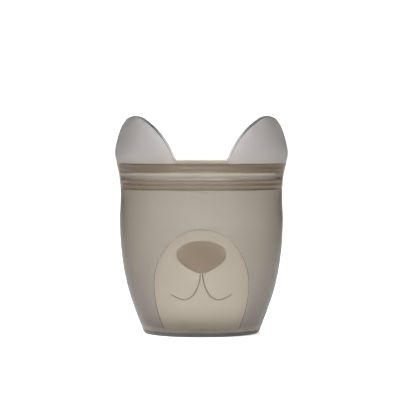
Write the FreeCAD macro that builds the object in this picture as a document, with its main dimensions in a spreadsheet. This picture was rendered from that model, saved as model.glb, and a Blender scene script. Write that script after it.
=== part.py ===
"""Soft silicone cup with a dog's face, two ears and a press-to-close zip across its mouth.

The cup is one moulding in translucent silicone. It is modelled here as the zones a moulder would name: a
thick floor on a foot ring, thin front and rear walls, an inlaid muzzle with its nose and mouth lines, a zip
band whose front half carries a channel between two jaws and whose rear half carries the bead, and ears that
grow from the rim.

Frame: millimetres, +Z up, the face looks along -Y, the origin is under the middle of the foot.
Each horizontal section is an oval of eight tangent edges: two short straights at front and rear, two small
corner arcs at the left and right ends, and four shoulder arcs between them. Towards the rim the corner arcs
get small, so the mouth is lens-shaped.
"""

import FreeCAD, Part

import math
import os

import Sketcher

V = FreeCAD.Vector
OUT = "parts"
FACING = ["front", "rear"]
SIDES = ["left", "right"]

# Horizontal sections from the foot up: height, half width, half depth, half straight, corner radius.
STATIONS = {
    "sole": (0.0, 27.7, 19.6, 4.0, 15.0),
    "heel": (1.6, 29.4, 21.0, 4.0, 16.0),
    "floor": (4.2, 30.4, 21.7, 4.0, 16.3),
    "cheek": (12.0, 33.4, 23.0, 4.5, 17.2),
    "hip": (24.0, 37.2, 24.2, 5.0, 17.6),
    "waist": (40.0, 40.0, 24.8, 5.5, 16.6),
    "bulge": (56.0, 40.9, 23.6, 6.0, 13.0),
    "neck": (71.8, 40.5, 20.6, 6.5, 8.0),
    "zipline": (79.0, 41.2, 19.5, 7.0, 5.2),
    "brim": (85.4, 42.5, 19.2, 7.0, 4.0),
    "lobe": (89.3, 43.3, 19.0, 7.0, 3.6),
    "earmid": (97.0, 42.1, 18.9, 7.0, 3.4),
    "earhigh": (104.0, 39.6, 18.6, 7.0, 3.3),
    "eartop": (110.0, 35.4, 18.4, 7.0, 3.2),
}
WALL_STATIONS = ["heel", "floor", "cheek", "hip", "waist", "bulge", "neck"]
COLLAR_STATIONS = ["neck", "zipline", "brim", "lobe", "earmid", "earhigh", "eartop"]
RAIL_STATIONS = ["neck", "zipline", "brim"]

SIZES = {
    "wall": 1.3,  # silicone thickness of walls, collar and ears
    "recess_inset": 4.0,  # width of the foot ring
    "recess_depth": 0.8,
    "rim_top": 86.9,  # top of the lip between the ears
    "press_half": 13.0,  # half length of the stretch of zip that is pressed together
    "play": 0.35,  # clearance round the stretch that moves
    "rail_end": 36.0,  # half length of the zip's rails
    "rail_depth": 1.9,  # how far jaws and bead stand out of the inner face
    "lower_jaw_low": 72.2,
    "lower_jaw_high": 76.5,
    "upper_jaw_low": 81.0,
    "upper_jaw_high": 84.8,
    "bead_low": 78.1,
    "bead_high": 80.1,
    "ear_toe": 13.5,  # where an ear's inner edge meets the rim, from the middle
    "ear_tip_inner": 28.4,
    "ear_tip_outer": 38.0,
    "ear_tip_height": 107.4,  # where the ear's rounded tip begins, on its inner edge
    "ear_tip_low": 106.2,  # and where it ends, on its outer edge
    "ear_edge_radius": 40.0,
    "ear_tip_radius": 7.7,
    "muzzle_top": 53.1,
    "muzzle_brow_half": 15.9,
    "muzzle_brow": 45.7,
    "muzzle_half": 23.1,
    "muzzle_middle": 26.6,
    "muzzle_foot_half": 18.3,
    "muzzle_top_radius": 21.0,
    "muzzle_brow_radius": 28.5,
    "muzzle_cheek_radius": 52.0,
    "nose_top": 47.5,
    "nose_middle": 41.3,
    "nose_bottom": 31.9,
    "nose_half": 12.0,
    "nose_top_radius": 14.7,
    "nose_bottom_radius": 12.4,
    "nose_depth": 1.0,
    "line_height": 0.3,
    "line_width": 0.6,
    "beyond": 60.0,  # half size of the blocks that cut the moulding into zones
    "overrun": 1.0,  # how far an outline runs past the plane where its zone ends
}

# The zip's rails: which half carries each, and the heights it spans.
ZIP_RAILS = {
    "lower_channel_jaw": ("front", "dims.lower_jaw_low", "dims.lower_jaw_high"),
    "upper_channel_jaw": ("front", "dims.upper_jaw_low", "dims.upper_jaw_high"),
    "zip_bead": ("rear", "dims.bead_low", "dims.bead_high"),
}

# Centre line of the right mouth line, from under the nose outwards: two arcs, each as the (x, z) of its start,
# middle and end.
MOUTH_ARCS = [
    ((0.45, 31.8), (1.65, 25.4), (5.3, 20.0)),
    ((5.3, 20.0), (9.9, 18.9), (15.4, 21.8)),
]

doc = FreeCAD.newDocument("silicone_dog_cup")
sheet = doc.addObject("Spreadsheet::Sheet", "dims")
STATION_FIELDS = ["height", "half_width", "half_depth", "half_straight", "corner_radius"]


def fill_sheet():
    """Writes every driving size into the sheet, one aliased cell each."""
    rows = [(f"{name}_{field}", value)
            for name, values in STATIONS.items()
            for field, value in zip(STATION_FIELDS, values)]
    rows += list(SIZES.items())
    for number, (alias, value) in enumerate(rows, start=1):
        sheet.set(f"A{number}", alias)
        sheet.set(f"B{number}", str(value))
        sheet.setAlias(f"B{number}", alias)
    doc.recompute()


def size(alias):
    """A driving size, read back from the sheet."""
    return float(sheet.get(alias))


# ---------------------------------------------------------------- sketches


def origin_plane(body, role):
    return next(f for f in body.Origin.OriginFeatures if f.Role == role)


def new_sketch(body, name, role):
    sketch = body.newObject("Sketcher::SketchObject", name)
    sketch.AttachmentSupport = [(origin_plane(body, role), "")]
    sketch.MapMode = "FlatFace"
    return sketch


def named(sketch, name, expression, *arguments):
    """Adds one dimensional constraint, names it and binds it to the sheet."""
    index = sketch.addConstraint(Sketcher.Constraint(*arguments))
    sketch.renameConstraint(index, name)
    sketch.setExpression(f"Constraints.{name}", expression)


def oval(body, station, inset):
    """An eight-edged oval section at a station's height, drawn in by inset, which is an expression."""
    height, half_width, half_depth, half_straight, radius = STATIONS[station]
    drawn_in = sheet_value(inset)
    a, b, c, r = half_width - drawn_in, half_depth - drawn_in, half_straight, radius - drawn_in
    shoulder = ((a - r - c) ** 2 + b**2 - r**2) / (2 * (b - r))
    turn = math.atan2(shoulder - b, a - r - c)
    sketch = new_sketch(body, f"{body.Name}_{station}", "XY_Plane")
    sketch.AttachmentOffset = FreeCAD.Placement(V(0, 0, height), FreeCAD.Rotation())
    sketch.setExpression("AttachmentOffset.Base.z", f"dims.{station}_height")

    def arc(x, y, rad, start, end):
        return Part.ArcOfCircle(Part.Circle(V(x, y, 0), V(0, 0, 1), rad), start, end)

    quarter = math.pi / 2
    rise = shoulder - b
    edges = [
        Part.LineSegment(V(-c, -b, 0), V(c, -b, 0)),
        arc(c, rise, shoulder, -quarter, -turn),
        arc(a - r, 0, r, -turn, turn),
        arc(c, -rise, shoulder, turn, quarter),
        Part.LineSegment(V(c, b, 0), V(-c, b, 0)),
        arc(-c, -rise, shoulder, quarter, math.pi - turn),
        arc(r - a, 0, r, math.pi - turn, math.pi + turn),
        arc(-c, rise, shoulder, math.pi + turn, 3 * quarter),
    ]
    sketch.addGeometry(edges, False)
    front, right, rear, left = 0, 2, 4, 6
    for edge in range(8):
        sketch.addConstraint(Sketcher.Constraint("Tangent", edge, 2, (edge + 1) % 8, 1))
    for straight in (front, rear):
        sketch.addConstraint(Sketcher.Constraint("Symmetric", straight, 1, straight, 2, -2))
    for corner in (right, left):
        sketch.addConstraint(Sketcher.Constraint("PointOnObject", corner, 3, -1))
    sketch.addConstraint(Sketcher.Constraint("Equal", front, rear))
    sketch.addConstraint(Sketcher.Constraint("Equal", right, left))
    depth = f"dims.{station}_half_depth - ({inset})"
    reach = f"dims.{station}_half_width - dims.{station}_corner_radius"
    named(sketch, "straight", f"2 * dims.{station}_half_straight", "DistanceX", front, 1, front, 2, 2 * c)
    named(sketch, "front_depth", depth, "DistanceY", front, 1, -1, 1, b)
    named(sketch, "rear_depth", depth, "DistanceY", -1, 1, rear, 1, b)
    named(sketch, "corner", f"dims.{station}_corner_radius - ({inset})", "Radius", right, r)
    named(sketch, "right_reach", reach, "DistanceX", -1, 1, right, 3, a - r)
    named(sketch, "left_reach", reach, "DistanceX", left, 3, -1, 1, a - r)
    return sketch


def sheet_value(expression):
    """The value of a simple sum of sheet cells and numbers, such as 'dims.wall + dims.rail_depth'."""
    total = 0.0
    for term in expression.replace("-", "+ -").split("+"):
        term = term.strip()
        if not term:
            continue
        sign = -1.0 if term.startswith("-") else 1.0
        term = term.lstrip("- ")
        total += sign * (size(term[5:]) if term.startswith("dims.") else float(term))
    return total


def arc_outline(body, name, corners, radii):
    """A closed outline on the XZ plane. corners are (x, z) expression pairs, and radii[i] is the expression of
    the outward-curving arc from corner i to the next one, or None for a straight edge."""
    sketch = new_sketch(body, name, "XZ_Plane")
    points = [V(sheet_value(x), sheet_value(z), 0) for x, z in corners]
    edges = []
    for i, radius in enumerate(radii):
        start, end = points[i], points[(i + 1) % len(points)]
        if radius is None:
            edges.append(Part.LineSegment(start, end))
            continue
        chord = end - start
        across = V(chord.y, -chord.x, 0).normalize()  # outward for a counterclockwise outline
        rad = sheet_value(radius)
        sink = math.sqrt(rad**2 - (chord.Length / 2) ** 2)
        middle = (start + end) * 0.5
        edges.append(Part.Arc(start, middle + across * (rad - sink), end))
    sketch.addGeometry(edges, False)
    count = len(edges)
    for i in range(count):
        sketch.addConstraint(Sketcher.Constraint("Coincident", i, 2, (i + 1) % count, 1))
    for i, (x, z) in enumerate(corners):
        for axis, expression, value in (("x", x, points[i].x), ("z", z, points[i].y)):
            kind = "DistanceX" if axis == "x" else "DistanceY"
            if abs(value) < 1e-9:
                line = -2 if axis == "x" else -1
                sketch.addConstraint(Sketcher.Constraint("PointOnObject", i, 1, line))
            elif value > 0:
                named(sketch, f"{axis}{i}", expression, kind, -1, 1, i, 1, value)
            else:
                named(sketch, f"{axis}{i}", f"-({expression})", kind, i, 1, -1, 1, -value)
    for i, radius in enumerate(radii):
        if radius is not None:
            named(sketch, f"radius{i}", radius, "Radius", i, sheet_value(radius))
    return sketch


# ---------------------------------------------------------------- solids


def lofted(name, stations, inset):
    """A solid body lofted through the oval sections at the given stations."""
    body = doc.addObject("PartDesign::Body", name)
    sketches = [oval(body, station, inset) for station in stations]
    doc.recompute()
    loft = body.newObject("PartDesign::AdditiveLoft", f"{name}_loft")
    loft.Profile = sketches[0]
    loft.Sections = sketches[1:]
    body.Tip = loft
    doc.recompute()
    return body


def prism(name, corners, radii):
    """A body padded from an outline on the XZ plane, through the whole depth of the cup."""
    body = doc.addObject("PartDesign::Body", name)
    sketch = arc_outline(body, f"{name}_outline", corners, radii)
    pad = body.newObject("PartDesign::Pad", f"{name}_pad")
    pad.Profile = sketch
    pad.Midplane = True
    pad.setExpression("Length", "2 * dims.beyond")
    body.Tip = pad
    doc.recompute()
    return body


def block(name, low, high):
    """A box between two corners, given as three expressions each."""
    box = doc.addObject("Part::Box", name)
    for axis, (start, end) in zip("xyz", zip(low, high)):
        box.setExpression(f"Placement.Base.{axis}", start)
    for side, start, end in zip(("Length", "Width", "Height"), low, high):
        box.setExpression(side, f"({end}) - ({start})")
    return box


def boolean(kind, name, base, tool):
    result = doc.addObject(f"Part::{kind}", name)
    result.Base = base
    result.Tool = tool
    return result


def common(name, base, tool):
    return boolean("Common", name, base, tool)


def cut(name, base, tool):
    return boolean("Cut", name, base, tool)


FAR = "dims.beyond"


def depth_span(facing):
    """The Y span of the front or the rear half."""
    return ("-" + FAR, "0") if facing == "front" else ("0", FAR)


def side_span(side, start, end):
    """The X span from start outwards to end, on the left (-X) or the right."""
    return (f"-{end}", f"-{start}") if side == "left" else (start, end)


def zone(name, shape, xs, facing, zs):
    """The part of a shape inside an X span, the front or rear half, and a Z span."""
    ys = depth_span(facing)
    box = block(f"{name}_zone", (xs[0], ys[0], zs[0]), (xs[1], ys[1], zs[1]))
    return common(name, shape, box)


nodes = {}


def keep(name, feature):
    """Marks a feature as a finished sub-part, under the name that its file gets."""
    feature.Label = name
    nodes[name] = feature


# ---------------------------------------------------------------- sub-parts


def base_floor():
    """The thick floor, with a bevelled bottom edge and a shallow recess inside the foot ring."""
    body = lofted("base", ["sole", "heel", "floor"], "0")
    body.Tip.Ruled = True
    sketch = oval(body, "sole", "dims.recess_inset")
    pocket = body.newObject("PartDesign::Pocket", "foot_recess")
    pocket.Profile = sketch
    pocket.Reversed = True
    pocket.setExpression("Length", "dims.recess_depth")
    body.Tip = pocket
    doc.recompute()
    keep("base_floor", body)


def muzzle_corners():
    """The muzzle panel's outline from its top, down the left side and back up the right one."""
    half = [
        ("0", "dims.muzzle_top"),
        ("-dims.muzzle_brow_half", "dims.muzzle_brow"),
        ("-dims.muzzle_half", "dims.muzzle_middle"),
        ("-dims.muzzle_foot_half", "dims.floor_height - dims.overrun"),
    ]
    other = [(x[1:], z) for x, z in reversed(half[1:])]
    return half + other


def walls_and_face():
    """Both walls, the muzzle panel let into the front one, the nose behind it and the mouth lines on it."""
    outer = lofted("wall_outer", WALL_STATIONS, "0")
    inner = lofted("wall_inner", WALL_STATIONS, "dims.wall")
    shell = cut("wall_shell", outer, inner)
    span = ("-" + FAR, FAR)
    heights = ("dims.floor_height", "dims.neck_height")
    front_half = zone("front_half", shell, span, "front", heights)
    keep("rear_wall", zone("rear_wall_shape", shell, span, "rear", heights))

    edge = ["dims.muzzle_top_radius", "dims.muzzle_brow_radius", "dims.muzzle_cheek_radius"]
    muzzle = prism("muzzle", muzzle_corners(), edge + [None] + edge[::-1])
    keep("front_wall", cut("front_wall_shape", front_half, muzzle))
    keep("muzzle_panel", common("muzzle_panel_shape", front_half, muzzle))

    nose = prism("nose", [("dims.nose_half", "dims.nose_middle"), ("0", "dims.nose_top"),
                          ("-dims.nose_half", "dims.nose_middle"), ("0", "dims.nose_bottom")],
                 ["dims.nose_top_radius"] * 2 + ["dims.nose_bottom_radius"] * 2)
    nose_inner = lofted("nose_inner", WALL_STATIONS, "dims.wall + dims.nose_depth")
    layer = cut("nose_layer", inner, nose_inner)
    nose_shape = common("nose_shape", layer, nose)
    keep("nose_pad", zone("nose_pad_shape", nose_shape, span, "front", heights))

    line_outer = lofted("line_outer", WALL_STATIONS, "-dims.line_height")
    line_layer = cut("line_layer", line_outer, outer)
    for side in SIDES:
        strip = mouth_strip(side)
        shape = common(f"mouth_{side}_shape", line_layer, strip)
        keep(f"mouth_line_{side}", zone(f"mouth_line_{side}_shape", shape, span, "front", heights))


def mouth_strip(side):
    """A thin upright strip along one mouth line, through the depth of the cup."""
    sign = -1 if side == "left" else 1
    line = Part.Wire([Part.Arc(*[V(sign * x, 0, z) for x, z in arc]).toShape() for arc in MOUTH_ARCS])
    outline = line.makeOffset2D(size("line_width") / 2, openResult=False)
    strip = doc.addObject("Part::Feature", f"mouth_strip_{side}")
    strip.Shape = Part.Face(outline).extrude(V(0, -size("beyond"), 0))
    return strip


def zip_and_ears():
    """The collar: the pressed stretch of the zip, its ends, the lips above it and the four ear halves."""
    outer = lofted("collar_outer", COLLAR_STATIONS, "0")
    inner = lofted("collar_inner", COLLAR_STATIONS, "dims.wall")
    shell = cut("collar_shell", outer, inner)
    rail_inner = lofted("rail_inner", RAIL_STATIONS, "dims.wall + dims.rail_depth")
    rails = cut("rail_layer", inner, rail_inner)

    press = ("-dims.press_half", "dims.press_half")
    brow_to_lip = ("dims.neck_height + dims.play", "dims.brim_height")
    for facing in FACING:
        keep(f"{facing}_zip_band", zone(f"{facing}_zip_band_shape", shell, press, facing, brow_to_lip))
        lip = zone(f"{facing}_lip_shape", shell, press, facing, ("dims.brim_height", "dims.rim_top"))
        keep(f"{facing}_lip_edge", lip)
        for side in SIDES:
            name = f"{facing}_{side}_zip_end"
            beside = side_span(side, "(dims.press_half + dims.play)", FAR)
            keep(name, zone(f"{name}_shape", shell, beside, facing, ("dims.neck_height", "dims.brim_height")))

    for rail, (facing, low, high) in ZIP_RAILS.items():
        keep(rail, zone(f"{rail}_shape", rails, press, facing, (low, high)))
        for side in SIDES:
            name = f"{rail}_{side}"
            beside = side_span(side, "(dims.press_half + dims.play)", "dims.rail_end")
            keep(name, zone(f"{name}_shape", rails, beside, facing, (low, high)))

    for side in SIDES:
        ear = ear_prism(side)
        both = common(f"{side}_ear_shape", shell, ear)
        for facing in FACING:
            name = f"{side}_ear_{facing}"
            heights = ("dims.brim_height", "dims.eartop_height")
            keep(name, zone(f"{name}_shape", both, ("-" + FAR, FAR), facing, heights))


def ear_prism(side):
    """The ear's outline seen from the front, as a prism through the cup. The collar sets its outer edge."""
    corners = [
        ("dims.ear_toe", "dims.brim_height - dims.overrun"),
        ("dims.beyond", "dims.brim_height - dims.overrun"),
        ("dims.beyond", "dims.ear_tip_low"),
        ("dims.ear_tip_outer", "dims.ear_tip_low"),
        ("dims.ear_tip_inner", "dims.ear_tip_height"),
        ("dims.ear_toe", "dims.rim_top"),
    ]
    radii = [None, None, None, "dims.ear_tip_radius", "dims.ear_edge_radius", None]
    if side == "left":
        corners = [("-" + x, z) for x, z in reversed(corners)]
        radii = [radii[4 - i] for i in range(5)] + [radii[5]]
    return prism(f"{side}_ear", corners, radii)


def check_and_write():
    """Stops on any failed object or bad shape, then writes one STEP file per sub-part."""
    doc.recompute()
    for obj in doc.Objects:
        if "Invalid" in obj.State or "Error" in obj.State:
            raise RuntimeError(f"{obj.Label} failed: {obj.State}")
    os.makedirs(OUT, exist_ok=True)
    for name, feature in nodes.items():
        shape = feature.Shape
        if shape.isNull() or not shape.isValid() or not shape.Solids:
            raise RuntimeError(f"{name} has no valid solid")
        box = shape.optimalBoundingBox()
        spans = f"x {box.XMin:.1f} {box.XMax:.1f} y {box.YMin:.1f} {box.YMax:.1f} z {box.ZMin:.1f} {box.ZMax:.1f}"
        print(f"{name:24s} solids {len(shape.Solids)} volume {shape.Volume:9.1f} mm3 {spans}")
        shape.exportStep(os.path.join(OUT, f"{name}.step"))


fill_sheet()
base_floor()
walls_and_face()
zip_and_ears()
check_and_write()
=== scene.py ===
"""Translucent silicone cup with a dog's face, two ears and a press-to-close zip across its mouth.

Every piece is a closed slab of silicone. A slab is a profile, a closed loop of (height, inset) points,
carried along the cup's plan outline, where inset is the depth into the cup from its outer skin. The same
eight-edge oval as in the frame gives the outline at each height. Lengths are in millimetres until a mesh is
made.

Where two slabs of one moulding meet, their faces are clear, so light passes from one to the next as it does
in a single moulding.
"""

import math

import bmesh
import bpy
import mathutils
import numpy as np
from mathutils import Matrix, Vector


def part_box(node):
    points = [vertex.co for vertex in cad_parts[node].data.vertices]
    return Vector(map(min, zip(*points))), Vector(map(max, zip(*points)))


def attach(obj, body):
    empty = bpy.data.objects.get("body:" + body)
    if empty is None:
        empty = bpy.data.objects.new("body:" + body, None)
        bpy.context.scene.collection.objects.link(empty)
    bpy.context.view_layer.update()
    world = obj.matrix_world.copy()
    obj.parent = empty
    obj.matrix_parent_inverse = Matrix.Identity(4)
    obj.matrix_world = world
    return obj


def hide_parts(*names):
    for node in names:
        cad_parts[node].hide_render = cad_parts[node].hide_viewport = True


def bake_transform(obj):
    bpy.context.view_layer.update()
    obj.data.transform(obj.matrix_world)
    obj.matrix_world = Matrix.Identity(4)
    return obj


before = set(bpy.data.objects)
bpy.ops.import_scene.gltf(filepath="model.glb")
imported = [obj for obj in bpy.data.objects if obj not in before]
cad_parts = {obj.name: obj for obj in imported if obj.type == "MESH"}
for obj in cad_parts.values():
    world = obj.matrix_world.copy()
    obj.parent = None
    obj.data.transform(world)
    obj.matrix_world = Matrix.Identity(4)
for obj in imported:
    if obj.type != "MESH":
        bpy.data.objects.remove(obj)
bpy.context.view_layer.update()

MM = 0.001

# Horizontal sections from the foot up: height, half width, half depth, half straight, corner radius.
SECTIONS = [
    (-3.0, 27.6, 20.0, 4.0, 15.2),
    (4.2, 30.4, 21.7, 4.0, 16.3),
    (12.0, 33.4, 23.0, 4.5, 17.2),
    (24.0, 37.2, 24.2, 5.0, 17.6),
    (40.0, 40.0, 24.8, 5.5, 16.6),
    (56.0, 40.9, 23.6, 6.0, 13.0),
    (71.8, 40.5, 20.6, 6.5, 8.0),
    (79.0, 41.2, 19.5, 7.0, 5.2),
    (85.4, 42.5, 19.2, 7.0, 4.0),
    (89.3, 43.3, 19.0, 7.0, 3.6),
    (97.0, 42.1, 18.9, 7.0, 3.4),
    (104.0, 39.6, 18.6, 7.0, 3.3),
    (110.0, 35.4, 18.4, 7.0, 3.2),
]


def reach(node, axis):
    """How far a CAD node reaches along an axis, in millimetres."""
    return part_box(node)[1]["xyz".index(axis)] / MM


def heights_of(node):
    """A CAD node's lowest and highest point, in millimetres."""
    low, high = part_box(node)
    return low[2] / MM, high[2] / MM


WALL = 1.3
FLOOR = reach("base_floor", "z")
NECK = reach("rear_wall", "z")  # height where the zip band begins
BRIM = reach("rear_zip_band", "z")  # height where the ears begin
RIM_TOP = reach("rear_lip_edge", "z")
SEAM = 55.0  # height where the lower shell ends and the flexible collar begins
GAP = 0.002  # clearance between two slabs of one moulding

CENTRE = reach("rear_zip_band", "x")  # half width of the stretch between the ears
CORNER_SHARE = 0.74  # share of a side panel's columns that lie before the corner arc
SQUARE_ON = 0.3  # outline places over which depth turns from straight back to square to the skin

EAR_TOE = 13.35  # distance from the middle at which an ear leaves the rim
EAR_TIP_INNER = 28.4
EAR_TIP_OUTER = 37.7
EAR_TIP_HEIGHT = 106.9  # where the rounded tip begins, on the inner edge
EAR_TIP_LOW = 107.2  # and where it ends, on the outer edge
EAR_EDGE_RADIUS = 40.0
EAR_TIP_RADIUS = 7.0
EAR_THINNING = 0.45  # share by which an ear's wall is thinner along its fold
EAR_FOLD = 1.72  # outline place where the thinning begins
EAR_FOLD_RUN = 0.16  # length along the outline over which it comes in
EAR_FOLD_RISE = 3.0  # and height above the brim by which it has come in

# Finishes of a face: outer skin, contact with the next slab of the moulding, and an edge painted dark and
# opaque, a painted shade.
SURFACE, INSIDE, PAINTED_DARK_EDGE = 0, 1, 2

SIGNS = {"left": -1, "right": 1}
FACING = {"front": -1, "rear": 1}


# ---------------------------------------------------------------- the cup's outline


def ease(share):
    """A smooth step from 0 to 1."""
    share = np.clip(share, 0, 1)
    return share * share * (3 - 2 * share)


def spline(heights, values, z):
    """A smooth curve through the sections' values, with finite-difference tangents."""
    slopes = np.gradient(values, heights)
    i = np.clip(np.searchsorted(heights, z) - 1, 0, len(heights) - 2)
    span = heights[i + 1] - heights[i]
    t = (z - heights[i]) / span
    low = (2 * t**3 - 3 * t**2 + 1) * values[i] + (t**3 - 2 * t**2 + t) * span * slopes[i]
    high = (3 * t**2 - 2 * t**3) * values[i + 1] + (t**3 - t**2) * span * slopes[i + 1]
    return low + high


SECTION_TABLE = np.array(SECTIONS, float).T


def section(z):
    """Half width, half depth, half straight and corner radius of the outer skin at height z."""
    heights = SECTION_TABLE[0]
    return [spline(heights, values, z) for values in SECTION_TABLE[1:]]


def side_arcs(z):
    """The arcs of a side panel at height z: half depth, half straight, corner radius, centre of the corner arc,
    radius of the shoulder arc, and the angles where that ends at the corner and begins at the centre stretch."""
    half_width, half_depth, straight, corner = section(z)
    corner_centre = half_width - corner
    run = corner_centre - straight
    shoulder = (run**2 + half_depth**2 - corner**2) / (2 * (half_depth - corner))
    turn = np.arctan2(shoulder - half_depth, run)
    first = np.arccos((CENTRE - straight) / shoulder)
    return half_depth, straight, corner, corner_centre, shoulder, turn, first


def plan(q, z):
    """A point on the front right quarter of the outline and its outward normal: x, y and the normal's x and y.
    q runs from 0 in the middle to 1 at the edge of the centre stretch, and on to 2 at the corner."""
    half_depth, straight, corner, corner_centre, shoulder, turn, first = side_arcs(z)
    along = np.clip(q, 0, 1) * CENTRE
    bent = np.arccos(np.clip((along - straight) / shoulder, -1, 1))
    middle_angle = np.where(along > straight, bent, math.pi / 2)
    side = np.clip((q - 1) / CORNER_SHARE, 0, 1)
    side_angle = first + (turn - first) * side
    bend = np.clip((q - 1 - CORNER_SHARE) / (1 - CORNER_SHARE), 0, 1)
    corner_angle = turn * (1 - bend)
    on_corner = q > 1 + CORNER_SHARE
    angle = np.where(on_corner, corner_angle, np.where(q > 1, side_angle, middle_angle))
    radius = np.where(on_corner, corner, shoulder)
    centre_x = np.where(on_corner, corner_centre, straight)
    centre_y = np.where(on_corner, 0.0, half_depth - shoulder)
    x = centre_x + radius * np.cos(angle)
    x = np.where((q <= 1) & (along <= straight), along, x)
    y = centre_y + radius * np.sin(angle)
    return x, y, np.cos(angle), np.sin(angle)


def skin(q, z, inset, side, facing):
    """The point at outline place q, height z and depth inset, in the quarter given by the two signs."""
    q, z, inset = np.broadcast_arrays(np.asarray(q, float), z, inset)
    x, y, normal_x, normal_y = plan(q, z)
    # Across the centre stretch the depth is measured straight back, so that its ends are flat faces.
    turned = ease((q - 1) / SQUARE_ON)
    in_x = inset * normal_x * turned
    in_y = inset * (normal_y * turned + (1 - turned) / np.maximum(normal_y, 0.3))
    return np.stack([side * (x - in_x), facing * (y - in_y), z], -1)


def place_of(x, z):
    """The signed outline place q of a point of the front at x, from the middle out to the corner arc."""
    _, straight, _, _, shoulder, turn, first = side_arcs(z)
    angle = np.arccos(np.clip((np.abs(x) - straight) / shoulder, -1, 1))
    beyond = 1 + CORNER_SHARE * (first - angle) / (first - turn)
    return np.sign(x) * np.where(np.abs(x) <= CENTRE, np.abs(x) / CENTRE, beyond)


def arc_height(x, start, end, radius):
    """Height at x of the arc that bulges up between two (x, height) points."""
    (x0, z0), (x1, z1) = start, end
    chord = math.hypot(x1 - x0, z1 - z0)
    sink = math.sqrt(radius**2 - (chord / 2) ** 2)
    centre_x = (x0 + x1) / 2 + sink * (z1 - z0) / chord
    centre_z = (z0 + z1) / 2 - sink * (x1 - x0) / chord
    return centre_z + np.sqrt(np.maximum(radius**2 - (x - centre_x) ** 2, 0))


def ear_height(x):
    """Height of the ear's edge seen from the front, for a place x out from the middle."""
    tip_inner = (EAR_TIP_INNER, EAR_TIP_HEIGHT)
    tip_outer = (EAR_TIP_OUTER, EAR_TIP_LOW)
    edge = arc_height(x, (EAR_TOE, RIM_TOP), tip_inner, EAR_EDGE_RADIUS)
    tip = arc_height(np.clip(x, EAR_TIP_INNER, EAR_TIP_OUTER), tip_inner, tip_outer, EAR_TIP_RADIUS)
    height = np.where(x < EAR_TIP_INNER, edge, tip)
    return np.where(x < EAR_TOE, RIM_TOP, height)


def rim_height(q):
    """Height of the rim or ear edge at outline place q, stepped towards, because x there depends on height."""
    top = np.full(np.shape(q), RIM_TOP)
    for _ in range(40):
        x = plan(q, top)[0]
        top = 0.5 * top + 0.5 * ear_height(x)
    return top


# ---------------------------------------------------------------- meshes


def new_object(name, data):
    """An object in the scene that holds a mesh, a light or a camera."""
    obj = bpy.data.objects.new(name, data)
    bpy.context.scene.collection.objects.link(obj)
    return obj


def mesh_object(name, vertices, faces, finish, material):
    """A closed mesh object from millimetre vertices, with its faces turned outwards. finish gives each face's
    finish, kept on the mesh as the attribute "inside" and one more for the edges painted dark, a painted
    shade. A second material wouldn't do, because light that enters through one material and leaves through
    another isn't counted as out of the volume."""
    mesh = bpy.data.meshes.new(name)
    corners = [tuple(int(v) for v in face) for face in faces]
    mesh.from_pydata((np.asarray(vertices) * MM).tolist(), [], corners)
    mesh.materials.append(material)
    mesh.polygons.foreach_set("material_index", np.asarray(finish, np.int32))
    mesh.polygons.foreach_set("use_smooth", np.ones(len(faces), bool))
    outward(mesh)
    kept = np.empty(len(mesh.polygons), np.int32)
    mesh.polygons.foreach_get("material_index", kept)
    for attribute, value in (("inside", INSIDE), ("painted_edge", PAINTED_DARK_EDGE)):
        marks = mesh.attributes.new(attribute, "FLOAT", "FACE")
        marks.data.foreach_set("value", (kept == value).astype(np.float32))
    mesh.polygons.foreach_set("material_index", np.zeros(len(kept), np.int32))
    return new_object(name, mesh)


def sweep(name, grid, row_finish, material):
    """A closed solid from a grid of points: rows go round the profile, columns along the outline. row_finish
    gives the finish of the strip that starts at each row; the two end caps lie inside the moulding."""
    rows, columns = grid.shape[:2]
    index = np.arange(rows * columns).reshape(rows, columns)
    faces, finish = [], []
    for j in range(columns - 1):
        for i in range(rows):
            n = (i + 1) % rows
            faces.append((index[i, j], index[i, j + 1], index[n, j + 1], index[n, j]))
            finish.append(int(row_finish[i]))
    faces.append(tuple(index[:, 0]))
    faces.append(tuple(index[::-1, -1]))
    finish += [INSIDE, INSIDE]
    return mesh_object(name, grid.reshape(-1, 3), faces, finish, material)


def outward(mesh):
    """Turns the faces outwards, triangulates big caps and keeps the edges between finishes crisp."""
    work = bmesh.new()
    work.from_mesh(mesh)
    big = [f for f in work.faces if len(f.verts) > 4]
    if big:
        bmesh.ops.triangulate(work, faces=big)
    bmesh.ops.remove_doubles(work, verts=work.verts, dist=0.5e-6)
    bmesh.ops.recalc_face_normals(work, faces=work.faces)
    if work.calc_volume(signed=True) < 0:
        bmesh.ops.reverse_faces(work, faces=work.faces)
    for edge in work.edges:
        sides = {f.material_index for f in edge.link_faces}
        edge.smooth = len(sides) < 2
    work.to_mesh(mesh)
    work.free()


def arc_points(centre, radii, start, end, count):
    """Points of an elliptical arc in (height, inset), angles in degrees from +height towards +inset."""
    angles = np.radians(np.linspace(start, end, count))
    return [(centre[0] + radii[0] * math.cos(a), centre[1] + radii[1] * math.sin(a)) for a in angles]


def rail_profile(ridges, corner):
    """Inner-face points of one zip rail, from its top down, as (height, depth past the wall). Each ridge is
    (low, high, depth), with rounded corners, so that a groove is left between two ridges."""
    points = [(ridges[0][1], 0.0)]
    for low, high, depth in ridges:
        points += arc_points((high - corner, depth - corner), (corner, corner), 0, 90, 7)
        points += arc_points((low + corner, depth - corner), (corner, corner), 90, 180, 7)
    return points + [(ridges[-1][0], 0.0)]


# ---------------------------------------------------------------- materials


SILICONE_IOR = 1.41
MOTTLE = 0.05  # how far the tint drifts either way
ROUGHNESS_DRIFT = 0.04
CLOUD_SCALE = 60  # the slow drift of tint and roughness, per metre
GRAIN_SCALE = 2600  # the fine matt grain of the mould, per metre
GRAIN_STRENGTH = 0.25
GRAIN_DEPTH = 0.04
SHADED_FROM, SHADED_TO = 12, 58  # heights between which the shade painted towards the foot fades out
SHADED_DEPTH = 14  # distance in front of the middle plane by which it has come in


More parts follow.
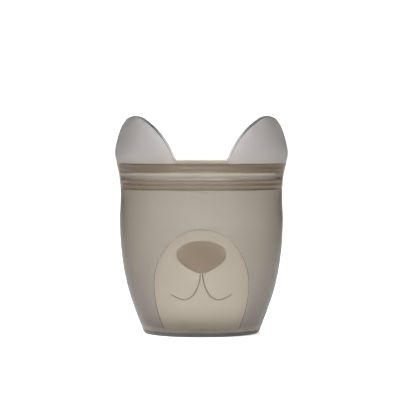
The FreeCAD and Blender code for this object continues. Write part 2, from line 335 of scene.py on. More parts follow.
def map_range(nodes, to_min, to_max, from_min=0.0, from_max=1.0):
    """A node that maps one range of values to another."""
    node = nodes.new("ShaderNodeMapRange")
    node.inputs["From Min"].default_value = from_min
    node.inputs["From Max"].default_value = from_max
    node.inputs["To Min"].default_value = to_min
    node.inputs["To Max"].default_value = to_max
    return node


def noise(nodes, scale, detail):
    """A noise texture."""
    node = nodes.new("ShaderNodeTexNoise")
    node.inputs["Scale"].default_value = scale
    node.inputs["Detail"].default_value = detail
    return node


def marked(nodes, attribute):
    """How far a face carries a finish, 0 or 1."""
    node = nodes.new("ShaderNodeAttribute")
    node.attribute_name = attribute
    return node.outputs["Fac"]


def mottled(nodes, links, cloud, tint):
    """The tint, drifting a little lighter and darker."""
    shade = nodes.new("ShaderNodeValToRGB")
    for stop, position, gain in zip(shade.color_ramp.elements, (0.3, 0.7), (1 - MOTTLE, 1 + MOTTLE)):
        stop.position = position
        stop.color = (*[min(c * gain, 1) for c in tint], 1)
    links.new(cloud, shade.inputs["Fac"])
    return shade.outputs["Color"]


def paint_dark_edges(nodes, links, shader, colour, clear, edge):
    """Paints the marked edges opaque and dark, a painted shade: their colour is the given share of the tint."""
    painted_edge = marked(nodes, "painted_edge")
    clearness = map_range(nodes, clear, 0.0)
    links.new(painted_edge, clearness.inputs["Value"])
    links.new(clearness.outputs["Result"], shader.inputs["Transmission Weight"])
    dim = nodes.new("ShaderNodeMix")
    dim.data_type = "RGBA"
    dim.blend_type = "MULTIPLY"
    dim.inputs["B"].default_value = (*edge, 1)
    links.new(painted_edge, dim.inputs["Factor"])
    links.new(colour, dim.inputs["A"])
    return dim.outputs["Result"]


def paint_foot_shade(nodes, links, place, colour, foot):
    """Paints shade into the colour, darker towards the foot of the cup, at the front only."""
    split = nodes.new("ShaderNodeSeparateXYZ")
    links.new(place, split.inputs["Vector"])
    rise = map_range(nodes, foot, 1.0, SHADED_FROM * MM, SHADED_TO * MM)
    forward = map_range(nodes, 1.0, foot, 0.0, -SHADED_DEPTH * MM)
    links.new(split.outputs["Y"], forward.inputs["Value"])
    links.new(forward.outputs["Result"], rise.inputs["To Min"])
    links.new(split.outputs["Z"], rise.inputs["Value"])
    scale = nodes.new("ShaderNodeVectorMath")
    scale.operation = "SCALE"
    links.new(colour, scale.inputs["Vector"])
    links.new(rise.outputs["Result"], scale.inputs["Scale"])
    return scale.outputs["Vector"]


def silicone(name, tint, absorption, roughness=0.42, clear=1.0, edge=None, foot=None):
    """Tinted translucent silicone. absorption is per millimetre and channel. edge is the tint's share on the
    edges painted dark as painted shade, and foot its share where shade is painted towards the foot of the front,
    each for a material whose pieces have such faces."""
    material = bpy.data.materials.new(name)
    material.use_nodes = True
    nodes, links = material.node_tree.nodes, material.node_tree.links
    nodes.clear()
    output = nodes.new("ShaderNodeOutputMaterial")
    volume = nodes.new("ShaderNodeVolumeAbsorption")
    densest = max(absorption) / 0.9  # keeps the colour of every channel above 0
    volume.inputs["Color"].default_value = (*[1 - value / densest for value in absorption], 1)
    volume.inputs["Density"].default_value = densest / MM
    links.new(volume.outputs["Volume"], output.inputs["Volume"])

    shader = nodes.new("ShaderNodeBsdfPrincipled")
    shader.inputs["Transmission Weight"].default_value = clear
    shader.inputs["IOR"].default_value = SILICONE_IOR
    place = nodes.new("ShaderNodeTexCoord").outputs["Object"]
    clouds = noise(nodes, CLOUD_SCALE, 3)
    links.new(place, clouds.inputs["Vector"])
    cloud = clouds.outputs["Fac"]
    colour = mottled(nodes, links, cloud, tint)
    # Edges painted dark and opaque: painted shade.
    if edge:
        colour = paint_dark_edges(nodes, links, shader, colour, clear, edge)
    # Shade painted towards the foot of the front.
    if foot:
        colour = paint_foot_shade(nodes, links, place, colour, foot)
    links.new(colour, shader.inputs["Base Color"])
    rough = map_range(nodes, roughness - ROUGHNESS_DRIFT, roughness + ROUGHNESS_DRIFT)
    links.new(cloud, rough.inputs["Value"])
    links.new(rough.outputs["Result"], shader.inputs["Roughness"])
    grain = noise(nodes, GRAIN_SCALE, 2)
    links.new(place, grain.inputs["Vector"])
    bump = nodes.new("ShaderNodeBump")
    bump.inputs["Strength"].default_value = GRAIN_STRENGTH
    bump.inputs["Distance"].default_value = GRAIN_DEPTH * MM
    links.new(grain.outputs["Fac"], bump.inputs["Height"])
    links.new(bump.outputs["Normal"], shader.inputs["Normal"])

    # Faces inside the moulding are clear.
    see_through = nodes.new("ShaderNodeBsdfTransparent")
    surface = nodes.new("ShaderNodeMixShader")
    links.new(marked(nodes, "inside"), surface.inputs["Fac"])
    links.new(shader.outputs["BSDF"], surface.inputs[1])
    links.new(see_through.outputs["BSDF"], surface.inputs[2])
    links.new(surface.outputs["Shader"], output.inputs["Surface"])
    return material


WALL_TINT = (0.97, 0.965, 0.955)
WALL_ABSORPTION = (0.445, 0.485, 0.55)
BODY = silicone("body_silicone", WALL_TINT, WALL_ABSORPTION)
# The front wall's edges round the muzzle are painted dark, and shade is painted towards its foot.
FRONT = silicone("front_silicone", WALL_TINT, WALL_ABSORPTION, edge=(0.20, 0.185, 0.17), foot=0.69)
MUZZLE = silicone("muzzle_silicone", (0.97, 0.965, 0.95), (0.52, 0.59, 0.70))
NOSE = silicone("nose_silicone", (0.95, 0.93, 0.90), (0.30, 0.41, 0.51))
# The mouth lines are beads of the wall's silicone. Their darker tint and higher absorption are painted shade for
# the dark line that their rounded sides give.
MOUTH = silicone("mouth_silicone", (0.55, 0.48, 0.42), (0.9, 1.05, 1.2))
RIM = silicone("rim_silicone", (0.735, 0.735, 0.71), (0.26, 0.32, 0.375), roughness=0.33)
# The ears' top edges are painted almost black: painted shade.
EAR = silicone("ear_silicone", (0.97, 0.965, 0.96), (0.34, 0.36, 0.37), edge=(0.04, 0.038, 0.036))
# The heel under the foot is painted dark: painted shade.
BASE = silicone("base_silicone", (0.82, 0.77, 0.70), (0.045, 0.055, 0.07), clear=0.9,
                edge=(0.085, 0.09, 0.095))


# ---------------------------------------------------------------- pieces


def side_places(side):
    """Outline places from the centre stretch to the corner, closer together at the corner and both ends."""
    strip = 0.002  # a narrow first and last column, so that neighbours shade alike where they meet
    shoulder = np.linspace(1 + strip, 1 + CORNER_SHARE, 44)
    corner = np.linspace(1 + CORNER_SHARE, 2 - strip, 15)[1:]
    return np.concatenate([[1.0], shoulder, corner, [2.0]]) * side


def half_places():
    """Signed outline places of one half of the cup, from its left corner round to its right one."""
    quarter = np.concatenate([np.linspace(0, 1, 14), side_places(1)[1:]])
    return np.concatenate([-quarter[::-1], quarter[1:]])


def half_grid(profile, places, facing, trim=0.0):
    """The grid of a profile carried along a half of the cup. trim draws both ends back from the seam."""
    profile = np.asarray(profile, float)
    z = profile[:, :1] + np.zeros((1, len(places)))
    inset = profile[:, 1:] + np.zeros((1, len(places)))
    q = np.abs(places)[None, :]
    grid = skin(q, z, inset, np.sign(places)[None, :] + (places == 0)[None, :], facing)
    at_end = np.abs(places) > 2 - 1e-6
    grid[:, at_end, 1] += facing * trim
    return grid


def spread(start, end, step):
    """Numbers from start to end, about a step apart."""
    return np.linspace(start, end, max(int(abs(end - start) / step) + 1, 2))


def face_heights(low, high, step):
    """Heights up a face, with a narrow strip at both ends so that slabs shade alike where they meet."""
    strip = 0.06
    return np.concatenate([[low], spread(low + strip, high - strip, step), [high]])


HEEL_HEIGHT, HEEL_WIDTH = 1.5, 1.2  # the rounded edge under the foot
HEEL_TOP = 2.3  # height below which the foot's face is painted dark and opaque, a painted shade
RING_WIDTH = 4.0  # the flat ring that the cup stands on
RECESS = 0.8  # height of the recess inside it
FLOOR_RING = 6.0  # inset of the last ring of the profile, inside which shrinking rings close the base


def make_base():
    """Heel, foot ring, recess and floor, as one ring profile and closed at the middle."""
    top = FLOOR - GAP
    outer = [(z, 0.0) for z in spread(top, HEEL_HEIGHT, 0.2)[:-1]]
    heel = arc_points((HEEL_HEIGHT, HEEL_WIDTH), (HEEL_HEIGHT, HEEL_WIDTH), 270, 180, 12)
    ring_flat = [(0.0, HEEL_WIDTH + 0.8), (0.0, RING_WIDTH - 0.3)]
    step = arc_points((RECESS, RING_WIDTH - 0.3), (RECESS, 0.9), 180, 90, 6)[1:]
    underside = [(RECESS, FLOOR_RING - 1.0), (RECESS, FLOOR_RING)]
    floor = [(FLOOR, FLOOR_RING), (FLOOR, 4.2), (FLOOR, 3.2), (top, WALL)]
    under_row = len(outer + heel + ring_flat + step + underside) - 1
    profile = np.array(outer + heel + ring_flat + step + underside + floor)
    row_finish = np.full(len(profile), SURFACE)
    face_rows = len(outer) + len(heel)
    # The heel's face is painted dark and opaque: painted shade.
    row_finish[:face_rows][profile[:face_rows, 0] < HEEL_TOP] = PAINTED_DARK_EDGE
    row_finish[-1] = INSIDE

    places = half_places()
    front = half_grid(profile, places, -1)
    rear = half_grid(profile, places[::-1], 1)
    grid = np.concatenate([front[:, :-1], rear[:, :-1]], axis=1)
    rows, columns = grid.shape[:2]
    index = np.arange(rows * columns).reshape(rows, columns)
    vertices = [tuple(p) for p in grid.reshape(-1, 3)]
    faces, finish = [], []
    for j in range(columns):
        k = (j + 1) % columns
        for i in range(rows):
            if i == under_row:
                continue
            n = (i + 1) % rows
            faces.append((index[i, j], index[i, k], index[n, k], index[n, j]))
            finish.append(row_finish[i])
    for row, height in ((under_row, RECESS), (under_row + 1, FLOOR)):
        previous = index[row]
        for share in (0.8, 0.6, 0.4, 0.2):
            start = len(vertices)
            vertices += [tuple(p) for p in grid[row] * (share, share, 1)]
            current = np.arange(start, start + columns)
            for j in range(columns):
                k = (j + 1) % columns
                faces.append((previous[j], previous[k], current[k], current[j]))
            previous = current
        vertices.append((0.0, 0.0, height))
        hub = len(vertices) - 1
        faces += [(previous[j], previous[(j + 1) % columns], hub) for j in range(columns)]
    finish += [SURFACE] * (len(faces) - len(finish))
    return mesh_object("base_and_foot", vertices, faces, finish, BASE)


def make_rear_shell():
    """The rear wall from the floor to the collar's seam."""
    heights = face_heights(FLOOR + GAP, SEAM - GAP, 1.6)
    profile = [(z, 0.0) for z in heights] + [(z, WALL) for z in heights[::-1]]
    finish = np.full(len(profile), SURFACE)
    finish[[len(heights) - 1, -1]] = INSIDE
    grid = half_grid(profile, half_places(), 1, trim=GAP)
    return sweep("rear_wall_skin", grid, finish, BODY)


base = make_base()
rear_shell = make_rear_shell()
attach(base, "cup")
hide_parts("base_floor")
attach(rear_shell, "cup")
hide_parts("rear_wall")


# ---------------------------------------------------------------- muzzle, nose and mouth


# The muzzle's arch is three arcs a side, which meet at these (x, height) points. The radii go from the top down.
MUZZLE_TOP = reach("muzzle_panel", "z")
MUZZLE_BROW = (15.9, 45.7)
MUZZLE_WIDEST = (reach("muzzle_panel", "x"), 26.6)
MUZZLE_FOOT = (18.5, FLOOR)
MUZZLE_RADII = (21.0, 28.5, 52.0)
SEAM_CORNER = 130  # direction in degrees from the foot's middle that pairs with the wall's upper left corner


def arc_between(start, end, radius, count):
    """Points along an arc that bulges outwards (to the left of travel) from start to end, start included."""
    start, end = np.array(start, float), np.array(end, float)
    chord = end - start
    length = np.hypot(*chord)
    normal = np.array([-chord[1], chord[0]]) / length
    sink = math.sqrt(radius**2 - (length / 2) ** 2)
    centre = (start + end) / 2 - normal * sink
    a0 = math.atan2(*(start - centre)[::-1])
    a1 = math.atan2(*(end - centre)[::-1])
    if a1 - a0 > math.pi:
        a1 -= 2 * math.pi
    if a0 - a1 > math.pi:
        a1 += 2 * math.pi
    angles = np.linspace(a0, a1, count)
    return centre + radius * np.stack([np.cos(angles), np.sin(angles)], -1)


def muzzle_arch():
    """The muzzle's outline from its left foot over the top to its right foot, as (x, height)."""
    left = [(-x, z) for x, z in (MUZZLE_FOOT, MUZZLE_WIDEST, MUZZLE_BROW, (0.0, MUZZLE_TOP))]
    radii = MUZZLE_RADII[::-1]
    counts = (40, 40, 36)
    parts = [arc_between(left[i], left[i + 1], radii[i], counts[i])[:-1] for i in range(3)]
    half = np.concatenate(parts + [np.array([[0.0, MUZZLE_TOP]])])
    mirror = half[::-1][1:] * (-1, 1)
    return np.concatenate([half, mirror])


ARCH = muzzle_arch()


def front_points(places, heights, inset):
    """Points of the front half at signed outline places."""
    side = np.where(places < 0, -1.0, 1.0)
    return skin(np.abs(places), heights, inset, side, -1)


def arch_normals():
    """The arch's outward normals."""
    tangent = np.gradient(ARCH, axis=0)
    tangent /= np.linalg.norm(tangent, axis=1)[:, None]
    return np.stack([-tangent[:, 1], tangent[:, 0]], -1)


def wall_edge():
    """Points of the front wall's outer limit that pair with the arch: up, along the seam and down."""
    low, high = FLOOR + GAP, SEAM - GAP
    outline = np.array([(-2.0, low), (-2.0, high), (2.0, high), (2.0, low)])
    angle = np.arctan2(np.maximum(ARCH[:, 1] - FLOOR, 0), ARCH[:, 0])
    left_turn = angle[np.argmin(abs(angle - math.radians(SEAM_CORNER)))]
    right_turn = math.pi - left_turn
    points = []
    for value in angle:
        if value > left_turn + 1e-9:
            t = (math.pi - value) / (math.pi - left_turn)
            points.append(outline[0] * (1 - t) + outline[1] * t)
        elif value > right_turn - 1e-9:
            t = (left_turn - value) / (left_turn - right_turn)
            points.append(outline[1] * (1 - t) + outline[2] * t)
        else:
            t = (right_turn - value) / right_turn
            points.append(outline[2] * (1 - t) + outline[3] * t)
    return np.array(points)


def slab_from_layers(name, outer, inner, material, painted_edge_rows=0):
    """A closed solid between an outer and an inner grid of the same size, whose four sides lie in the
    moulding. The given number of first strips of the outer face are painted dark and opaque, a painted shade."""
    rows, columns = outer.shape[:2]
    count = rows * columns
    top = np.arange(count).reshape(rows, columns)
    low = top + count
    vertices = np.concatenate([outer.reshape(-1, 3), inner.reshape(-1, 3)])
    faces, finish = [], []
    for i in range(rows - 1):
        for j in range(columns - 1):
            faces.append((top[i, j], top[i, j + 1], top[i + 1, j + 1], top[i + 1, j]))
            faces.append((low[i, j], low[i + 1, j], low[i + 1, j + 1], low[i, j + 1]))
            finish += [PAINTED_DARK_EDGE if i < painted_edge_rows else SURFACE, SURFACE]
    edges = [(top[0], low[0]), (top[-1], low[-1]), (top[:, 0], low[:, 0]), (top[:, -1], low[:, -1])]
    for a, b in edges:
        for j in range(len(a) - 1):
            faces.append((a[j], a[j + 1], b[j + 1], b[j]))
            finish.append(INSIDE)
    return mesh_object(name, vertices, faces, finish, material)


STEP_DEPTH = 0.22  # how far the muzzle panel lies below the wall's face
# The wall's edge round the muzzle is rounded: distances from the arch, and how far the face sinks at each.
EDGE_DISTANCES = (0.0, 0.06, 0.14, 0.24)
EDGE_SINKS = (0.16, 0.06, 0.015, 0.0)


def make_front_shell():
    """The front wall round the muzzle: a slab whose inner rim follows the muzzle's arch."""
    normals = arch_normals()
    edge = wall_edge()
    outer, inner = [], []
    rim = ARCH + normals * GAP
    rim[:, 1] = np.maximum(rim[:, 1], FLOOR + GAP)
    rim_q = place_of(rim[:, 0], rim[:, 1])
    start = np.stack([rim_q, rim[:, 1]], -1)
    span = front_points(edge[:, 0], edge[:, 1], 0.0) - front_points(rim_q, rim[:, 1], 0.0)
    length = np.maximum(np.linalg.norm(span, axis=1), 1.0)
    shares = [distance / length for distance in EDGE_DISTANCES]
    shares += [s + np.zeros(len(ARCH)) for s in np.linspace(0.04, 0.997, 46)] + [np.ones(len(ARCH))]
    for number, share in enumerate(shares):
        point = start * (1 - share[:, None]) + edge * share[:, None]
        depth = EDGE_SINKS[number] if number < len(EDGE_SINKS) else 0.0
        outer.append(front_points(point[:, 0], point[:, 1], depth))
        inner.append(front_points(point[:, 0], point[:, 1], WALL))
    outer, inner = np.array(outer), np.array(inner)
    for grid in (outer, inner):
        grid[-1][np.abs(edge[:, 0]) > 2 - 1e-6, 1] -= GAP
    # The first rows round the muzzle are painted dark: painted shade.
    return slab_from_layers("front_wall_skin", outer, inner, FRONT, painted_edge_rows=len(EDGE_SINKS) - 1)


def make_muzzle():
    """The muzzle panel, a fan from the middle of its foot to the arch, a little below the wall's face."""
    normals = arch_normals()
    shares = np.concatenate([np.linspace(0.004, 0.9, 30), np.linspace(0.9, 1.0, 10)[1:]])
    hub = np.array([0.0, FLOOR + GAP])
    rim = ARCH - normals * GAP
    rim[:, 1] = np.maximum(rim[:, 1], FLOOR + GAP)
    outer, inner = [], []
    for share in shares:
        point = hub * (1 - share) + rim * share
        q = place_of(point[:, 0], point[:, 1])
        outer.append(front_points(q, point[:, 1], STEP_DEPTH))
        inner.append(front_points(q, point[:, 1], WALL))
    return slab_from_layers("muzzle_panel_skin", np.array(outer), np.array(inner), MUZZLE)


NOSE_BOTTOM, NOSE_TOP = heights_of("nose_pad")
NOSE_MIDDLE = 41.3  # height at which the nose is widest
NOSE_HALF = reach("nose_pad", "x")
NOSE_BULGE = 1.3
NOSE_TAPER = 0.34  # share by which it is drawn in towards its lowest point


def nose_outline(count):
    """The nose's outline as (x, height): half an ellipse on top, drawn in to a blunt point below."""
    angles = np.linspace(0, 2 * math.pi, count, endpoint=False)
    up = np.sin(angles)
    tall = np.where(up > 0, NOSE_TOP - NOSE_MIDDLE, NOSE_MIDDLE - NOSE_BOTTOM)
    taper = np.where(up < 0, 1 - NOSE_TAPER * up * up, 1.0)
    return np.stack([NOSE_HALF * np.cos(angles) * taper, NOSE_MIDDLE + tall * up], -1)


def make_nose():
    """A pad behind the muzzle panel, crowned towards the inside of the cup."""
    outline = nose_outline(96)
    hub = np.array([0.0, (NOSE_TOP + NOSE_BOTTOM) / 2 + 0.6])
    shares = np.concatenate([[0.03], np.linspace(0.1, 0.88, 16), [0.92, 0.95, 0.975, 0.99, 1.0]])
    layers = []
    for bulge in (0.0, NOSE_BULGE):
        for share in shares:
            point = hub * (1 - share) + outline * share
            q = place_of(point[:, 0], point[:, 1])
            crown = bulge * (1 - share**5) ** 0.5
            layers.append(front_points(q, point[:, 1], WALL + GAP + crown))
    vertices = list(np.concatenate(layers))
    columns = len(outline)
    index = np.arange(len(vertices)).reshape(2, -1, columns)
    top, low = index
    faces = []
    for j in range(columns):
        k = (j + 1) % columns
        for i in range(len(shares) - 1):
            faces.append((top[i, j], top[i, k], top[i + 1, k], top[i + 1, j]))
            faces.append((low[i, j], low[i + 1, j], low[i + 1, k], low[i, k]))
        faces.append((top[-1, j], top[-1, k], low[-1, k], low[-1, j]))
    for layer in (top, low):
        vertices.append(np.mean([vertices[v] for v in layer[0]], axis=0))
        hub_index = len(vertices) - 1
        faces += [(layer[0, j], layer[0, (j + 1) % columns], hub_index) for j in range(columns)]
    return mesh_object("nose_skin", vertices, faces, [SURFACE] * len(faces), NOSE)


LINE_WIDTH = 0.6
LINE_HEIGHT = 0.3
LINE_FADE = 0.06  # share of a mouth line over which it fades in and out


def mouth_centre_line():
    """Centre line of the right mouth line, as (x, height)."""
    control = np.array([(0.4, 31.9), (1.05, 27.9), (2.75, 23.0), (5.25, 20.0),
                        (8.5, 18.8), (12.0, 19.8), (15.4, 21.8)])
    steps = np.linalg.norm(np.diff(control, axis=0), axis=1)
    lengths = np.concatenate([[0], np.cumsum(steps)])
    fine = np.linspace(0, lengths[-1], 60)
    return np.stack([spline(lengths, control[:, 0], fine), spline(lengths, control[:, 1], fine)], -1)


def make_mouth(side):
    """One mouth line: a low rounded bead on the muzzle that fades out at both ends."""
    line = mouth_centre_line() * (side, 1)
    tangent = np.gradient(line, axis=0)
    tangent /= np.linalg.norm(tangent, axis=1)[:, None]
    across = np.stack([-tangent[:, 1], tangent[:, 0]], -1)
    share = np.linspace(0, 1, len(line))
    fade = np.sqrt(np.clip(np.minimum(share, 1 - share) / LINE_FADE, 0.04, 1))
    rows = []
    for angle in np.linspace(0, math.pi, 9):
        point = line + across * (LINE_WIDTH / 2 * math.cos(angle) * fade)[:, None]
        q = place_of(point[:, 0], point[:, 1])
        inset = STEP_DEPTH - GAP - LINE_HEIGHT * math.sin(angle) * fade
        rows.append(front_points(q, point[:, 1], inset))
    name = "mouth_line_left_bead" if side < 0 else "mouth_line_right_bead"
    return sweep(name, np.array(rows), [SURFACE] * len(rows), MOUTH)


front_shell = make_front_shell()
muzzle = make_muzzle()
nose = make_nose()
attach(front_shell, "cup")
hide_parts("front_wall")
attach(muzzle, "cup")
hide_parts("muzzle_panel")
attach(nose, "cup")
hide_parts("nose_pad")
for side_name, side in SIGNS.items():
    bead = make_mouth(side)
    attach(bead, "cup")
    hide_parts(f"mouth_line_{side_name}")


# ---------------------------------------------------------------- collar, zip and ears


RAIL_DEPTH = 1.9  # how far the rails stand out from the wall's inner face
GROOVE = 0.25  # width of the groove that splits a jaw into two ridges
# The wall is thinner along the jaws' inner sides, so that they can spread: width and depth of each groove.
UPPER_UNDERCUT = (0.5, 0.5)
LOWER_UNDERCUT = (0.85, 0.95)


def jaw_ridges(node, groove_share, upper_depth, lower_depth):
    """The two ridges of a zip jaw, split by a groove at a share of the jaw's height from its foot."""
    low, high = heights_of(node)
    middle = low + (high - low) * groove_share
    return [(middle + GROOVE / 2, high, upper_depth), (low, middle - GROOVE / 2, lower_depth)]


RAILS = {
    "front": [jaw_ridges("upper_channel_jaw", 0.48, RAIL_DEPTH, 1.7),
              jaw_ridges("lower_channel_jaw", 0.56, 1.0, 1.3)],
    "rear": [[(*heights_of("zip_bead"), RAIL_DEPTH)]],
}
RAIL_CORNER = 0.6  # radius of a ridge's edges
RAIL_FADE_START = 1.62  # outline place where the rails begin to sink into the wall
RAIL_FADE_END = 1.92
LIP_CROWN = 0.55  # height of the lip's rounded edge
CENTRE_NODES = {
    "front": ["front_zip_band", "front_lip_edge", "lower_channel_jaw", "upper_channel_jaw"],
    "rear": ["rear_zip_band", "rear_lip_edge", "zip_bead"],
}
SIDE_RAILS = {"front": ["lower_channel_jaw", "upper_channel_jaw"], "rear": ["zip_bead"]}


def undercut(top, width, depth):
    """Inner-face points of a groove in the wall, from its top down, as (height, depth past the wall)."""
    share = np.linspace(0.04, 0.96, 9)
    return [(top - width * t, -depth * math.sin(math.pi * t) ** 0.5) for t in share]


def rail_face(facing, start, end):
    """The inner face from one height down to another, with the rails that lie between."""
    points, height = [], start
    for number, ridges in enumerate(RAILS[facing]):
        top = ridges[0][1]
        if number:
            points += undercut(height, *UPPER_UNDERCUT) + undercut(top + LOWER_UNDERCUT[0], *LOWER_UNDERCUT)
        else:
            points += [(z, 0.0) for z in spread(height, top, 0.8)[:-1]]
        points += rail_profile(ridges, RAIL_CORNER)
        height = ridges[-1][0]
    points += [(z, 0.0) for z in spread(height, end, 0.8)[1:]]
    return [(z, WALL, depth) for z, depth in points]


def lip_loop(top):
    """Over a lip's edge from the outer face to the inner one, as (height, inset, depth past the wall)."""
    crown = arc_points((top - LIP_CROWN, WALL / 2), (LIP_CROWN, WALL / 2), -90, 90, 11)
    return [(z, inset, 0.0) for z, inset in crown]


def collar_grid(loop, places, facing, top=None):
    """A loop of (height, inset, depth past the wall) carried along outline places, with that depth fading out
    towards the corner. Where top is given, the part above the brim stretches up to it."""
    q = np.abs(places)
    z = np.repeat(loop[:, :1], len(q), axis=1)
    if top is not None:
        crown_start = RIM_TOP - LIP_CROWN
        stretched = BRIM + (z - BRIM) / (crown_start - BRIM) * (top[None, :] - LIP_CROWN - BRIM)
        crown = z - RIM_TOP + top[None, :]
        z = np.where(z > BRIM + GAP, np.where(z > crown_start, crown, stretched), z)
        thinned = EAR_THINNING * ease((q[None, :] - EAR_FOLD) / EAR_FOLD_RUN)
        thinned = thinned * ease((z - BRIM) / EAR_FOLD_RISE)
        loop_inset = loop[:, 1:2] * (1 - thinned)
    else:
        loop_inset = loop[:, 1:2]
    fade = ease((RAIL_FADE_END - q) / (RAIL_FADE_END - RAIL_FADE_START))
    inset = loop_inset + loop[:, 2:3] * fade[None, :]
    side = np.where(places < 0, -1.0, 1.0)
    return skin(q[None, :], z, inset, side[None, :], facing)


def centre_grid(loop, facing):
    """A loop carried along the centre stretch, drawn back by the gap at both ends."""
    places = np.concatenate([[-1.0], np.linspace(-0.995, 0.995, 27), [1.0]])
    grid = collar_grid(loop, places, facing)
    grid[:, 0, 0] += GAP
    grid[:, -1, 0] -= GAP
    return grid


def wall_slab():
    """The loop and finishes of a plain wall from the lower shell's seam up to the zip band."""
    heights = face_heights(SEAM + GAP, NECK - GAP, 1.5)
    loop = np.array([(z, 0.0, 0.0) for z in heights] + [(z, WALL, 0.0) for z in heights[::-1]])
    finish = np.full(len(loop), SURFACE)
    finish[[len(heights) - 1, -1]] = INSIDE
    return loop, finish


def make_centre(facing_name):
    """The middle of one lip, from the zip band's foot to the rim, which the pinch carries inwards."""
    outer = [(z, 0.0, 0.0) for z in face_heights(NECK + GAP, RIM_TOP - LIP_CROWN, 1.0)[:-1]]
    lip = lip_loop(RIM_TOP)
    inner = rail_face(facing_name, RIM_TOP - LIP_CROWN, NECK + GAP)[1:]
    loop = np.array(outer + lip + inner)
    finish = np.full(len(loop), SURFACE)
    finish[-1] = INSIDE
    grid = centre_grid(loop, FACING[facing_name])
    piece = sweep(f"{facing_name}_lip_skin", grid, finish, RIM)
    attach(piece, f"{facing_name}_lip")
    return piece


def make_forehead(facing_name):
    """The middle of the wall between the lower shell and the zip band."""
    loop, finish = wall_slab()
    grid = centre_grid(loop, FACING[facing_name])
    piece = sweep(f"{facing_name}_forehead_skin", grid, finish, BODY)
    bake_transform(piece)
    return piece


def make_brow(facing_name, side_name):
    """The panel between the lower shell and the zip band, beside the middle."""
    facing, side = FACING[facing_name], SIGNS[side_name]
    loop, finish = wall_slab()
    grid = collar_grid(loop, side_places(side), facing)
    grid[:, -1, 1] += facing * GAP
    piece = sweep(f"{facing_name}_{side_name}_brow_skin", grid, finish, BODY)
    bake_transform(piece)
    return piece


def follow_lip(piece):
    """Bakes a collar piece's placement into its mesh."""
    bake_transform(piece)


def make_zip_end(facing_name, side_name):
    """The zip band with its rails from the centre stretch to the corner."""
    facing, side = FACING[facing_name], SIGNS[side_name]
    heights = face_heights(NECK + GAP, BRIM - GAP, 1.0)
    outer = [(z, 0.0, 0.0) for z in heights]
    inner = rail_face(facing_name, BRIM - GAP, NECK + GAP)
    loop = np.array(outer + inner)
    grid = collar_grid(loop, side_places(side), facing)
    grid[:, -1, 1] += facing * GAP
    finish = np.full(len(loop), SURFACE)
    finish[[len(outer) - 1, -1]] = INSIDE
    piece = sweep(f"{facing_name}_{side_name}_zip_skin", grid, finish, RIM)
    follow_lip(piece)
    return piece


def make_ear(facing_name, side_name):
    """One half of an ear, thinner along its fold, with its top edge painted dark and opaque, a painted shade."""
    facing, side = FACING[facing_name], SIGNS[side_name]
    places = side_places(side)
    shares = np.concatenate([[0, 0.01], np.linspace(0, 1, 16)[1:]])
    heights = BRIM + GAP + (RIM_TOP - LIP_CROWN - BRIM - GAP) * shares
    lip = lip_loop(RIM_TOP)
    outer = [(z, 0.0, 0.0) for z in heights[:-1]]
    inner = [(z, WALL, 0.0) for z in heights[:-1][::-1]]
    loop = np.array(outer + lip + inner)
    finish = np.full(len(loop), SURFACE)
    # The ear's top edge is painted dark and opaque: painted shade.
    finish[len(outer):len(outer) + len(lip) - 1] = PAINTED_DARK_EDGE
    finish[-1] = INSIDE
    grid = collar_grid(loop, places, facing, rim_height(np.abs(places)))
    grid[:, -1, 1] += facing * GAP
    piece = sweep(f"{side_name}_ear_{facing_name}_skin", grid, finish, EAR)
    follow_lip(piece)
    return piece


for facing_name in FACING:
    centre = make_centre(facing_name)
    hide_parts(*CENTRE_NODES[facing_name])
    forehead = make_forehead(facing_name)
    for side_name in SIGNS:
        brow = make_brow(facing_name, side_name)
        zip_end = make_zip_end(facing_name, side_name)
        rails = [f"{rail}_{side_name}" for rail in SIDE_RAILS[facing_name]]
        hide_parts(f"{facing_name}_{side_name}_zip_end", *rails)
        ear = make_ear(facing_name, side_name)
        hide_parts(f"{side_name}_ear_{facing_name}")


# ---------------------------------------------------------------- stage, light and camera


def plain(name, colour, roughness):
    """A plain material, for the stage only."""
    material = bpy.data.materials.new(name)
    material.use_nodes = True
    shader = material.node_tree.nodes["Principled BSDF"]
    shader.inputs["Base Color"].default_value = (*colour, 1)
    shader.inputs["Roughness"].default_value = roughness
    return material


# The stage is in metres.
FLOOR_GLOW = 0.60  # light that the floor gives off, which keeps it white round the cup
FLOOR_HALF_WIDTH = 4.0
# Brightness of the studio from left to right, as (place, share): the floor's by metres, the surroundings' by
# direction.
FLOOR_SHADES = [(-1.2, 0.33), (-0.40, 0.84), (-0.12, 1.0), (0.10, 1.0), (0.31, 0.76), (0.60, 0.14)]
AROUND_SHADES = [(-0.8, 0.22), (-0.15, 1.0), (0.05, 1.0), (0.32, 0.12)]


def shade_ramp(nodes, links, source, shades, limit):
    """A grey ramp over a coordinate that runs from -limit to limit."""
    place = map_range(nodes, 0.0, 1.0, -limit, limit)
    ramp = nodes.new("ShaderNodeValToRGB")
    stops = ramp.color_ramp.elements
    while len(stops) < len(shades):
        stops.new(0.5)
    for stop, (position, share) in zip(stops, shades):
        stop.position = (position + limit) / (2 * limit)
        stop.color = (share, share, share, 1)
    links.new(source, place.inputs["Value"])
    links.new(place.outputs["Result"], ramp.inputs["Fac"])
    return ramp.outputs["Color"]


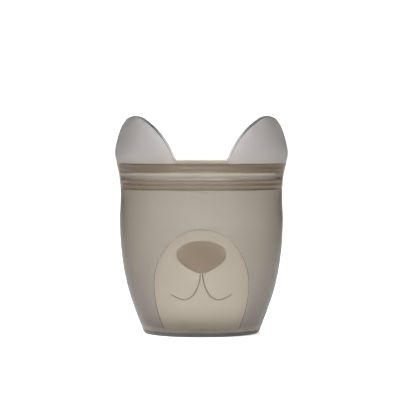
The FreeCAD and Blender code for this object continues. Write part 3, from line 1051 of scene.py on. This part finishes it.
def make_floor():
    """A white sweep: a level floor that curves up into a backdrop well behind the cup."""
    turn = np.radians(np.arange(10, 91, 10))
    depths = np.concatenate([[-4.0, -1.0, -0.3, 0.0, 0.3, 1.2], 1.2 + np.sin(turn), [2.2]])
    rises = np.concatenate([np.zeros(6), 1.0 - np.cos(turn), [3.0]])
    vertices = [(x, y, z) for y, z in zip(depths, rises) for x in (-FLOOR_HALF_WIDTH, FLOOR_HALF_WIDTH)]
    faces = [(2 * i, 2 * i + 1, 2 * i + 3, 2 * i + 2) for i in range(len(depths) - 1)]
    mesh = bpy.data.meshes.new("floor")
    mesh.from_pydata(vertices, [], faces)
    mesh.polygons.foreach_set("use_smooth", [True] * len(faces))
    floor = new_object("floor", mesh)
    material = plain("floor_white", (0.8, 0.8, 0.8), 0.9)
    nodes, links = material.node_tree.nodes, material.node_tree.links
    shader = nodes["Principled BSDF"]
    shader.inputs["Specular IOR Level"].default_value = 0.1
    shader.inputs["Emission Strength"].default_value = FLOOR_GLOW
    split = nodes.new("ShaderNodeSeparateXYZ")
    links.new(nodes.new("ShaderNodeTexCoord").outputs["Object"], split.inputs["Vector"])
    glow = shade_ramp(nodes, links, split.outputs["X"], FLOOR_SHADES, 2.0)
    links.new(glow, shader.inputs["Emission Color"])
    mesh.materials.append(material)


def area_light(name, place, target, size, power):
    """A rectangular light at a place, turned towards its target."""
    light = bpy.data.lights.new(name, "AREA")
    light.shape = "RECTANGLE"
    light.size, light.size_y = size
    light.energy = power
    obj = new_object(name, light)
    obj.location = place
    direction = np.array(target) - np.array(place)
    obj.rotation_euler = mathutils.Vector(direction).to_track_quat("-Z", "Y").to_euler()


def make_world():
    """White surroundings, darker to the sides, which the silicone mirrors and shows at its edges."""
    world = bpy.data.worlds.new("studio")
    bpy.context.scene.world = world
    world.use_nodes = True
    nodes, links = world.node_tree.nodes, world.node_tree.links
    split = nodes.new("ShaderNodeSeparateXYZ")
    links.new(nodes.new("ShaderNodeTexCoord").outputs["Generated"], split.inputs["Vector"])
    light = shade_ramp(nodes, links, split.outputs["X"], AROUND_SHADES, 1.0)
    links.new(light, nodes["Background"].inputs["Color"])


def make_camera(place, target, lens):
    """The camera, at the photograph's viewing angle."""
    data = bpy.data.cameras.new("camera")
    data.lens = lens
    data.sensor_width = 36
    camera = new_object("camera", data)
    camera.location = place
    aim = mathutils.Vector(target) - camera.location
    camera.rotation_euler = aim.to_track_quat("-Z", "Y").to_euler()
    bpy.context.scene.camera = camera


make_floor()
make_world()
make_camera((-0.0007, -0.89, 0.105), (-0.0007, 0.0, 0.0667), 160)
area_light("key", (-0.5, -0.3, 0.9), (0, 0, 0.05), (0.6, 0.6), 9)
area_light("top", (0.0, 0.3, 1.1), (0, 0, 0.05), (1.2, 1.2), 14)

bpy.context.scene.view_settings.view_transform = "Standard"
# Light crosses many thin faces on its way through the cup.
bpy.context.scene.cycles.max_bounces = 24
bpy.context.scene.cycles.transmission_bounces = 24
bpy.context.scene.cycles.transparent_max_bounces = 32
